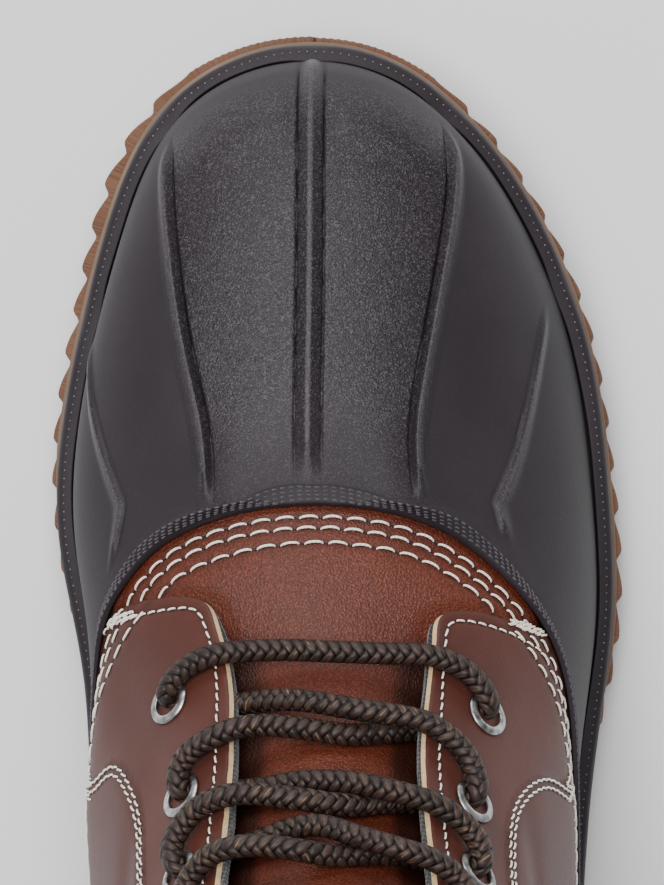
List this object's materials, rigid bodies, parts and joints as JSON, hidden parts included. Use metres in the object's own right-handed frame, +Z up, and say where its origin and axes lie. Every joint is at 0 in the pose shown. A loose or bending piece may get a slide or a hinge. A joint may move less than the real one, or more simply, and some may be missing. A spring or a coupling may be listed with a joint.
{
  "type": "duck boot",
  "caption": "Right-foot lace-up duck boot: leather upper and tongue, rubber lower shell with raised ribs, and a gum outsole with saw-tooth sides.",
  "frame": {"origin": "middle of the bounding box, on the floor under the outsole", "axes": "+Z up from the floor; +Y from the toe towards the heel; +X towards the inner (medial) side of the foot"},
  "size_m": [0.1146, 0.306, 0.1906],
  "materials": {
    "gum_rubber": "matte, fine striations",
    "tan_strip": "matte",
    "dark_rubber": "satin, fine grain",
    "vamp_leather": "pebbled, semi-gloss",
    "quarter_leather": "smooth, semi-gloss",
    "footbed": "matte",
    "eyelet_metal": "bright",
    "lace_cord": "braided"
  },
  "bodies": {
    "root": {"outsole": "gum_rubber", "midsole": "tan_strip", "shell": "dark_rubber", "vamp_tongue": "vamp_leather", "upper": "quarter_leather", "insole": "footbed", "lace_bar_1": "lace_cord", "lace_cross_1": "lace_cord", "lace_cross_2": "lace_cord", "lace_cross_3": "lace_cord", "lace_cross_4": "lace_cord", "eyelet_medial_1": "eyelet_metal", "eyelet_medial_2": "eyelet_metal", "eyelet_medial_3": "eyelet_metal", "eyelet_medial_4": "eyelet_metal", "eyelet_medial_5": "eyelet_metal", "eyelet_lateral_1": "eyelet_metal", "eyelet_lateral_2": "eyelet_metal", "eyelet_lateral_3": "eyelet_metal", "eyelet_lateral_4": "eyelet_metal", "eyelet_lateral_5": "eyelet_metal"}
  },
  "joints": []
}
